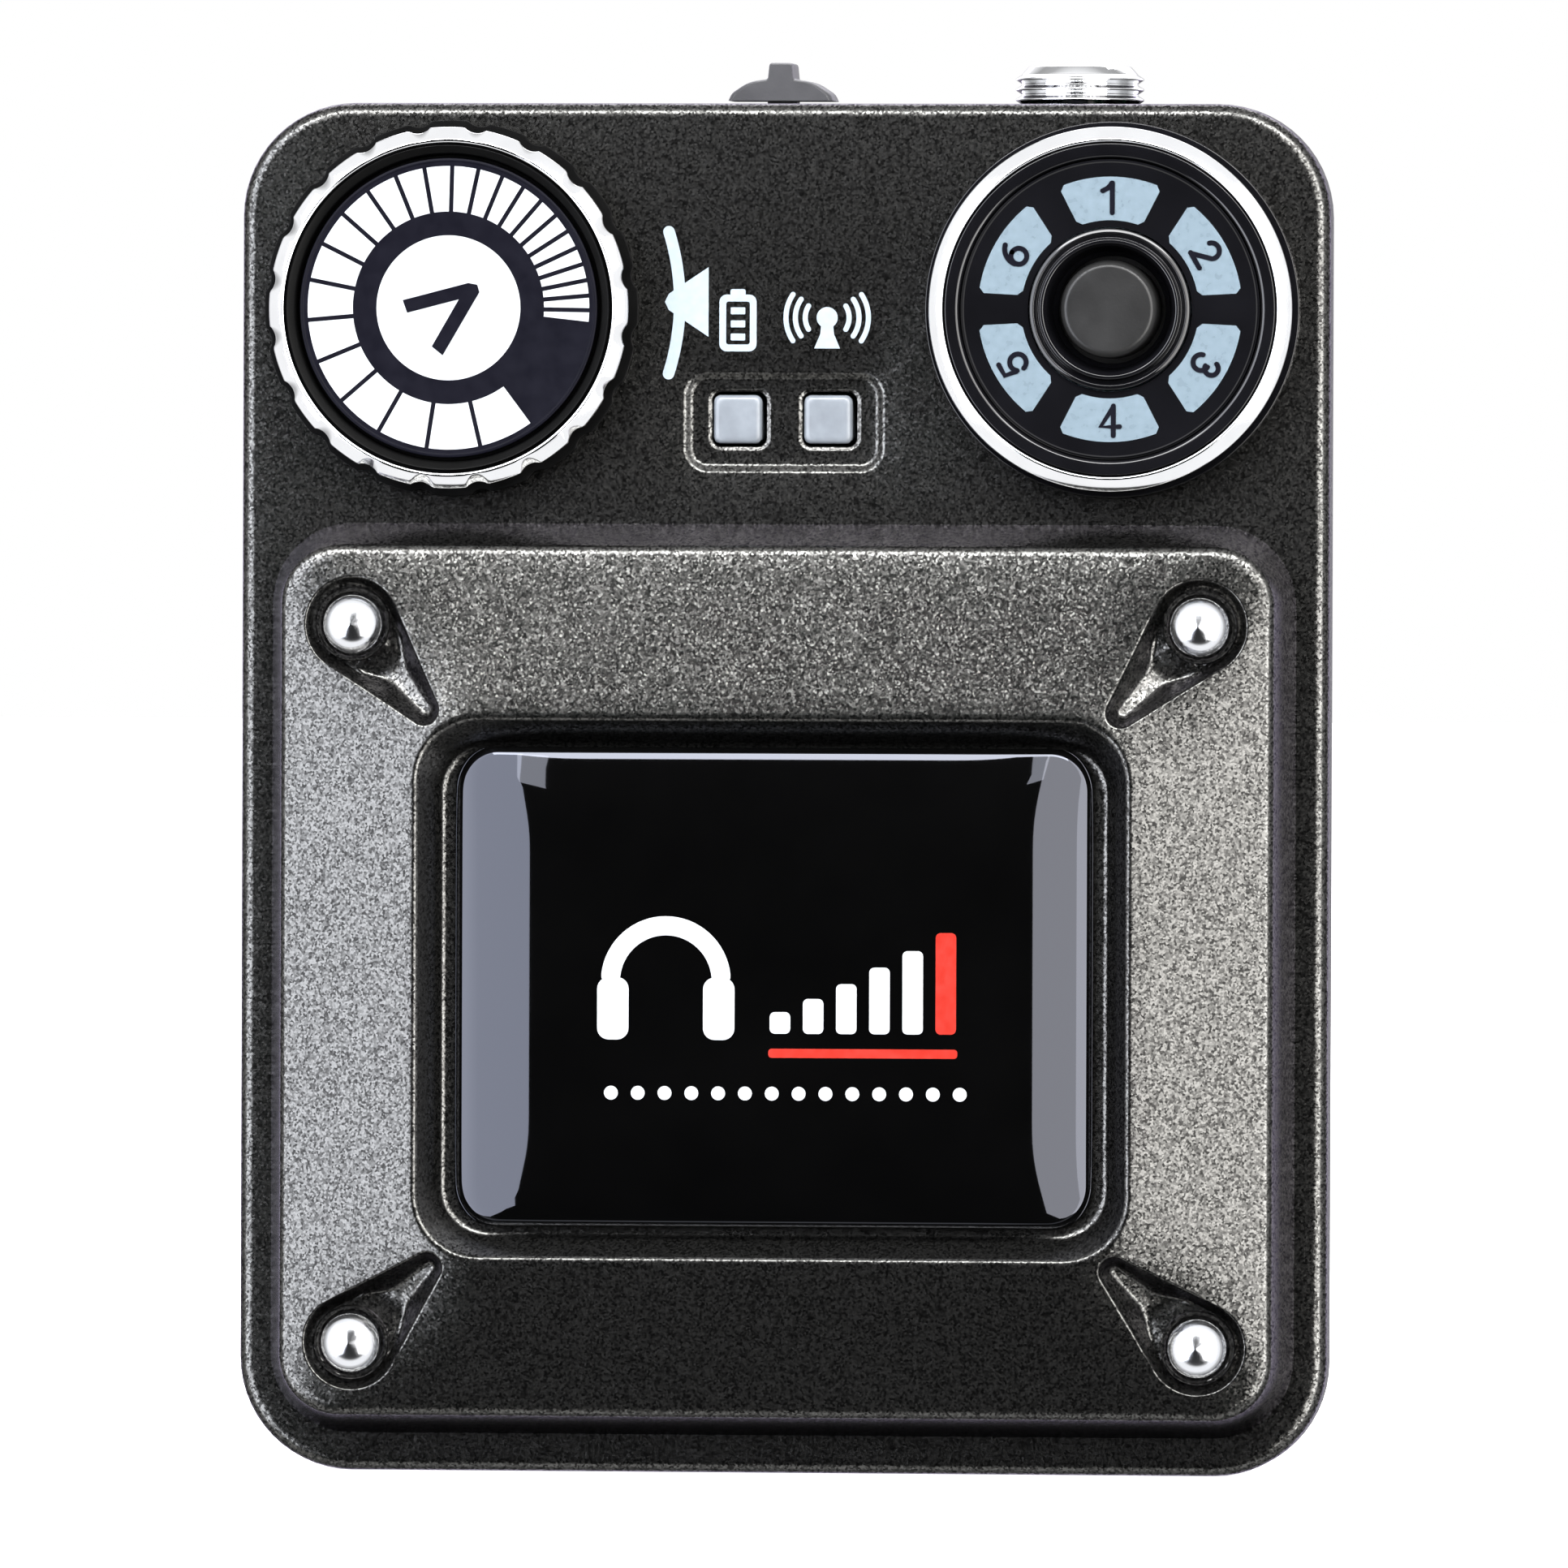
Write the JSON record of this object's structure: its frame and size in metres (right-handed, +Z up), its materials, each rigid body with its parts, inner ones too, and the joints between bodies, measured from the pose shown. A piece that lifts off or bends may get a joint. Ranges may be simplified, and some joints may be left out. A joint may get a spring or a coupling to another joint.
{
  "type": "wireless audio receiver",
  "caption": "Pocket wireless in-ear monitor receiver: raised front frame with a domed badge, volume knob, channel selector, top power switch, headphone jack and belt clip.",
  "frame": {"origin": "on the flat bottom face of the case, mid-width and mid-depth of the shell behind the front frame", "axes": "+Z up, with the top switch and jack at the top; the front face with its dials looks towards -Y; +X is to the right seen from the front"},
  "size_m": [0.066, 0.0306, 0.0853],
  "materials": {
    "case_paint": "charcoal metallic-flake paint with a fine grain over moulded plastic",
    "chrome": "bright chrome plating",
    "black_gloss": "gloss black",
    "black_plastic": "fine matt black",
    "grey_plastic": "satin mid grey",
    "white_plastic": "satin white, printed in black on the dial",
    "lens": "milky light-diffusing plastic",
    "lamp": "white lamp package",
    "black_steel": "black oxide spring steel",
    "bare_steel": "plated sheet steel",
    "circuit_board": "green solder mask on glass fibre",
    "brass": "plain brass",
    "cell_foil": "foil pouch of a lithium cell",
    "foam": "closed-cell foam",
    "wire": "silicone-insulated wire"
  },
  "bodies": {
    "case": {"front_cover": "case_paint", "rear_cover": "case_paint", "front_stud_1": "chrome", "front_stud_2": "chrome", "front_stud_3": "chrome", "front_stud_4": "chrome", "channel_trim_ring": "chrome", "jack_collar": "chrome", "badge": "black_gloss", "channel_bezel": "black_gloss", "channel_window_plate": "black_gloss", "channel_hub_ring": "black_gloss", "volume_pot_body": "black_plastic", "channel_switch_body": "black_plastic", "charge_port_tongue": "black_plastic", "jack_body": "black_plastic", "battery_connector": "white_plastic", "battery_status_lens": "lens", "signal_status_lens": "lens", "channel_light_guide": "lens", "battery_status_led": "lamp", "signal_status_led": "lamp", "channel_led_1": "lamp", "channel_led_2": "lamp", "channel_led_3": "lamp", "channel_led_4": "lamp", "channel_led_5": "lamp", "channel_led_6": "lamp", "belt_clip_foot": "black_steel", "case_screw_1": "black_steel", "case_screw_2": "black_steel", "case_screw_3": "black_steel", "case_screw_4": "black_steel", "clip_screw_1": "black_steel", "clip_screw_2": "black_steel", "shield_can": "bare_steel", "charge_port_shell": "bare_steel", "power_switch_body": "bare_steel", "main_board": "circuit_board", "channel_board": "circuit_board", "antenna": "brass", "battery": "cell_foil", "battery_pad": "foam", "battery_lead": "wire"},
    "volume": {"volume_knob": "black_plastic", "volume_trim_ring": "chrome", "volume_scale_plate": "white_plastic", "volume_shaft": "brass"},
    "selector_button": {"channel_button": "black_plastic", "channel_switch_stem": "white_plastic"},
    "power_switch": {"power_switch_cap": "grey_plastic", "power_switch_lever": "black_plastic"},
    "clip_arm": {"belt_clip_arm": "black_steel"}
  },
  "joints": [
    {"name": "volume_turn", "type": "hinge", "parent": "case", "child": "volume", "pos_m": [-0.0201, -0.0085, 0.07028], "axis": [0, 1, 0], "range_deg": [0, 300]},
    {"name": "selector_press", "type": "slide", "parent": "case", "child": "selector_button", "axis": [0, 1, 0], "range_m": [0, 0.0005]},
    {"name": "power_slide", "type": "slide", "parent": "case", "child": "power_switch", "axis": [1, 0, 0], "range_m": [0, 0.002]},
    {"name": "clip_flex", "type": "hinge", "parent": "case", "child": "clip_arm", "pos_m": [0, 0.012, 0.071], "axis": [1, 0, 0], "range_deg": [0, 8]}
  ]
}
